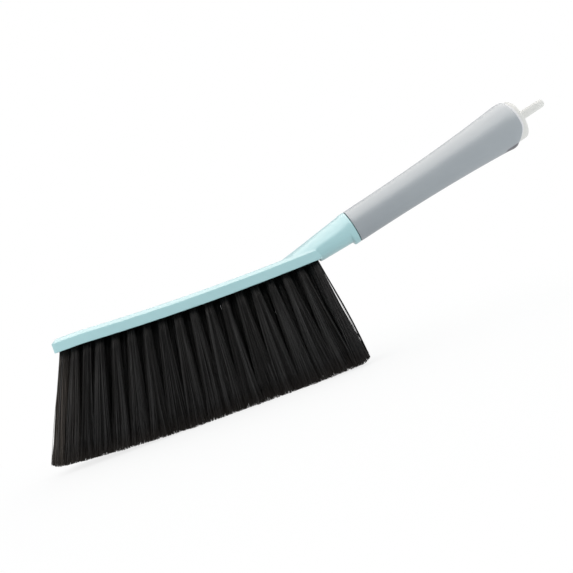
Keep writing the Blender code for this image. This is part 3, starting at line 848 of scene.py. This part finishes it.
# Tufts: bundles of fine black synthetic filament, folded into their holes and trimmed after.
# Each fans out to fill its share of the field, and its filaments cling together in a few
# wide locks and in many thin wicks.
FILAMENTS = 230
FILAMENT_SIDES = 3
FILAMENT_JOINTS = 6
FILAMENT_ROOT_RADIUS = 0.00016
FILAMENT_TIP_RADIUS = 0.00015
ROOT_SINK = 0.0035
ROOT_FILL_SHARE = 0.92
TIP_FILL_SHARE = 0.56
INNER_FILL_SHARE = 0.72
LOCKS = 7
WICKS = 60
LOCK_CLING_SHARE = 0.12
WICK_CLING_SHARE = 0.35
LOCK_STRAY = 0.0005
LOCK_BOW = 0.0006
FILAMENT_STRAY = 0.0003
FILAMENT_BOW = 0.0004
BOW_POWER = 1.4
FRONT_FAN_POWER = 1.35
INNER_FAN_POWER = 0.45
RAGGED = 0.0006
SHORT_SHARE = 0.03
SHORT_BY = 0.0020
WISP_SHARE = 0.006
FRAYED_WISP_SHARE = 0.05
WISP_STRAY = 0.0013
CORNER_REACH = 0.007
CORNER_RISE = 0.0026
WORN_TUFTS = 1.3
LOCK_RING_SHARE = 0.62
LOCK_TURN = 0.3
LOCK_SHADE = 0.2
WICK_SHADE = 0.34
STRAND_SHADE = 0.42
MEAN_SHADE = 0.34
# Painted shade: filaments at a tuft's flanks, and the whole middle row, are darker, as neighbouring
# tufts shade them.
FLANK_SHADE = 0.6
FLANK_POWER = 3
MIDDLE_SHADE = 0.2
PALE_SHARE = 0.04
NOSE_DRAW = 0.0019
HEEL_DRAW = 0.0014
REAR_HEEL_DRAW = 0.0030
SIDE_DRAW = 0.0023
SPLIT_FROM = 0.86
SPLIT_BOW = 0.0007
GOLDEN_TURN = math.radians(137.5)
BROWN_FROM = 0.86
BROWN_SHARE = 0.6
# Painted shade: the filaments darken towards their roots, where the block and the crowded tuft
# shade them.
ROOT_SHADE_FULL_TO = 0.05
ROOT_SHADE_GONE_AT = 0.36
ROOT_SHADE_DARKNESS = 0.8
FILAMENT_ROUGHNESS = 0.5
FILAMENT_SPECULAR = 0.2
CHANCE_SEED = 11

chance = random.Random(CHANCE_SEED)

# Black polypropylene filament: extruded, smooth and faintly shiny. It is a little browner and
# paler where it is cut, and along its whole length in the tufts at the nose, which wear
# first. Real ones are 0.2 mm thick and are drawn at about 0.3 mm, so that they show.
bristle_filament = bpy.data.materials.new("black_polypropylene_filament")
bristle_filament.use_nodes = True
tree = bristle_filament.node_tree
shader = tree.nodes["Principled BSDF"]
shade = add_node(tree, "ShaderNodeAttribute", {"attribute_name": "shade"})
length = add_node(tree, "ShaderNodeAttribute", {"attribute_name": "length"})
worn = add_node(tree, "ShaderNodeAttribute", {"attribute_name": "worn"})
body = add_node(tree, "ShaderNodeMix",
                {"data_type": "RGBA", 6: linear("050505"), 7: linear("404040")},
                {0: shade.outputs["Fac"]})
browned = add_node(tree, "ShaderNodeMix", {"data_type": "RGBA", 7: linear("59534D")},
                   {0: worn.outputs["Fac"], 6: body.outputs[2]})
near_tip = add_node(tree, "ShaderNodeMapRange",
                    {"From Min": BROWN_FROM, "From Max": 1.0, "To Min": 0.0, "To Max": BROWN_SHARE},
                    {"Value": length.outputs["Fac"]})
tipped = add_node(tree, "ShaderNodeMix", {"data_type": "RGBA", 7: linear("3A342F")},
                  {0: near_tip.outputs[0], 6: browned.outputs[2]})
# Painted shade near the roots: the colour turns almost black towards the block.
root_shading = add_node(tree, "ShaderNodeMapRange",
                  {"From Min": ROOT_SHADE_FULL_TO, "From Max": ROOT_SHADE_GONE_AT,
                   "To Min": ROOT_SHADE_DARKNESS, "To Max": 0.0},
                  {"Value": length.outputs["Fac"]})
shaded_roots = add_node(tree, "ShaderNodeMix", {"data_type": "RGBA", 7: linear("060607")},
                  {0: root_shading.outputs[0], 6: tipped.outputs[2]})
tree.links.new(shaded_roots.outputs[2], shader.inputs["Base Color"])
shader.inputs["Roughness"].default_value = FILAMENT_ROUGHNESS
shader.inputs["Specular IOR Level"].default_value = FILAMENT_SPECULAR

bpy.ops.object.select_all(action="DESELECT")
bpy.ops.mesh.primitive_cylinder_add(vertices=FILAMENT_SIDES, radius=1, depth=1,
                                    location=(0, 0, 0.5))
filament = bpy.context.object
filament.name = "one_filament"
bpy.ops.object.mode_set(mode="EDIT")
for joint in range(1, FILAMENT_JOINTS):
    bpy.ops.mesh.select_all(action="SELECT")
    bpy.ops.mesh.bisect(plane_co=(0, 0, joint / FILAMENT_JOINTS), plane_no=(0, 0, 1))
bpy.ops.object.mode_set(mode="OBJECT")
apply_place(filament)
model_points = np.array([vert.co for vert in filament.data.vertices])
model_faces = [tuple(face.vertices) for face in filament.data.polygons]
bpy.data.objects.remove(filament, do_unlink=True)

left_tip = tuft_rows["front"][0][1].x
right_tip = tuft_rows["front"][-1][1].x


def corner_rise(x):
    """How much the trim line is rounded up at the two ends of the field."""
    inside = min(x - left_tip, right_tip - x) + CORNER_REACH / 2
    return CORNER_RISE * min(1, max(0, 1 - inside / CORNER_REACH)) ** 2


def spread(amount):
    return Vector((chance.gauss(0, amount), chance.gauss(0, amount), 0))


def evened(coordinate):
    """Turn a point's place in a round hole into its place in a field that is filled evenly."""
    within = min(1, max(-1, coordinate))
    return 2 / math.pi * (math.asin(within) + within * math.sqrt(1 - within * within))


def disc_point(number, count):
    """A point of an even spiral that fills the unit disc."""
    radius = math.sqrt((number + 0.5) / count)
    return radius * math.cos(number * GOLDEN_TURN), radius * math.sin(number * GOLDEN_TURN)


def make_tuft(name, root, tip, along_limits, across_limits, fan_power, mean_shade, worn_here,
              field_end, node):
    """One tuft: copies of the filament, each bent along its own way from hole to trim line.
    At both ends of the field more of them stray, and at the heel a few come away together."""
    upward = (root - tip).normalized()
    locks = []
    for number in range(LOCKS):
        radius = LOCK_RING_SHARE if number else 0
        turn = number * math.tau / (LOCKS - 1) + chance.uniform(-LOCK_TURN, LOCK_TURN)
        locks.append((radius * math.cos(turn), radius * math.sin(turn), spread(LOCK_STRAY),
                      spread(LOCK_BOW), chance.uniform(-LOCK_SHADE, LOCK_SHADE)))
    wicks = [(*disc_point(number, WICKS), chance.gauss(0, WICK_SHADE)) for number in range(WICKS)]
    share = model_points[:, 2:3]
    points, faces, lengths, shades, wear = [], [], [], [], []
    for number in range(FILAMENTS):
        u, v = disc_point(number, FILAMENTS)
        lock = min(locks, key=lambda one: (one[0] - u) ** 2 + (one[1] - v) ** 2)
        wick = min(wicks, key=lambda one: (one[0] - u) ** 2 + (one[1] - v) ** 2)
        start = root + upward * ROOT_SINK + Vector((u, v, 0)) * HOLE_RADIUS * ROOT_FILL_SHARE
        tip_u = evened(u + (lock[0] - u) * LOCK_CLING_SHARE + (wick[0] - u) * WICK_CLING_SHARE)
        tip_v = evened(v + (lock[1] - v) * LOCK_CLING_SHARE + (wick[1] - v) * WICK_CLING_SHARE)
        end = Vector((tip.x + tip_u * along_limits[tip_u > 0],
                      tip.y + tip_v * across_limits[tip_v > 0], 0))
        end += lock[2] + spread(FILAMENT_STRAY)
        if chance.random() < (FRAYED_WISP_SHARE if field_end else WISP_SHARE):
            end += spread(WISP_STRAY)
        end.z = trim_z(end.x) + corner_rise(end.x) + RAGGED * chance.random() ** 2
        if chance.random() < SHORT_SHARE:
            end.z += SHORT_BY * chance.random()
        bow = lock[3] + spread(FILAMENT_BOW)
        if field_end == "heel" and u > SPLIT_FROM:
            bow.x = SPLIT_BOW * (1 + chance.random())
        elif field_end == "heel":
            bow.x = -SPLIT_BOW * max(0, u)
        foot = np.array((tip.x + u * HOLE_RADIUS, tip.y + v * HOLE_RADIUS, end.z))
        way = np.array(start) * (1 - share) + foot * share
        bent = np.array(bow) * np.sin(np.pi * share ** BOW_POWER)
        way += (np.array(end) - foot) * share ** fan_power + bent
        thick = FILAMENT_ROOT_RADIUS + (FILAMENT_TIP_RADIUS - FILAMENT_ROOT_RADIUS) * share
        face_turn = chance.uniform(0, math.tau)
        cos_turn, sin_turn = math.cos(face_turn), math.sin(face_turn)
        around = np.stack((model_points[:, 0] * cos_turn - model_points[:, 1] * sin_turn,
                           model_points[:, 0] * sin_turn + model_points[:, 1] * cos_turn,
                           np.zeros(len(model_points))), axis=1)
        base = len(points) * len(model_points)
        points.append(way + around * thick)
        faces += [tuple(base + index for index in face) for face in model_faces]
        lengths.append(share[:, 0])
        shade_here = mean_shade + lock[4] + wick[2] + chance.gauss(0, STRAND_SHADE)
        # Painted shade on the tuft's flanks, where the neighbouring tufts shade it.
        shade_here -= FLANK_SHADE * abs(u) ** FLANK_POWER
        if chance.random() < PALE_SHARE:
            shade_here += 1
        shades.append(np.full(len(model_points), min(1, max(0, shade_here))))
        wear.append(np.full(len(model_points), worn_here * chance.random()))
    mesh = bpy.data.meshes.new(name)
    mesh.from_pydata(np.concatenate(points).tolist(), [], faces)
    for attribute, values in (("length", lengths), ("shade", shades), ("worn", wear)):
        layer = mesh.attributes.new(attribute, "FLOAT", "POINT")
        layer.data.foreach_set("value", np.concatenate(values))
    tuft = bpy.data.objects.new(name, mesh)
    bpy.context.scene.collection.objects.link(tuft)
    dress(tuft, bristle_filament, "black_bristle", node)


for row, axes in tuft_rows.items():
    for index, (root, tip) in enumerate(axes):
        node = f"tuft_{row}_{index + 1:02d}"
        low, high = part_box(node)
        neighbours = axes[max(0, index - 1):index] + axes[index + 1:index + 2]
        tip_pitch = min(abs(tip.x - other.x) for _, other in neighbours)
        row_pitch = half_width_at(root.x) - SIDE_MARGIN + ROW_SPREAD
        field_end = None
        if row == "front":
            field_end = {0: "nose", len(axes) - 1: "heel"}.get(index)
        along_share = TIP_FILL_SHARE if row == "front" else INNER_FILL_SHARE
        along_limits = [along_share * tip_pitch, along_share * tip_pitch]
        across_limits = [TIP_FILL_SHARE * row_pitch, TIP_FILL_SHARE * row_pitch]
        if index == 0:
            along_limits[0] = tip.x - low.x - NOSE_DRAW
        if index == len(axes) - 1:
            along_limits[1] = high.x - tip.x - (REAR_HEEL_DRAW if row == "rear" else HEEL_DRAW)
        if row == "front":
            across_limits[0] = tip.y - low.y - SIDE_DRAW
        if row == "rear":
            across_limits[1] = high.y - tip.y - SIDE_DRAW
        make_tuft(f"bristles_{row}_{index + 1:02d}", root, tip, along_limits, across_limits,
                  FRONT_FAN_POWER if row == "front" else INNER_FAN_POWER,
                  # The middle row gets a darker tone as painted shade, since the outer rows shade
                  # it.
                  MIDDLE_SHADE if row == "middle" else MEAN_SHADE,
                  max(0, 1 - index / WORN_TUFTS), field_end, node)
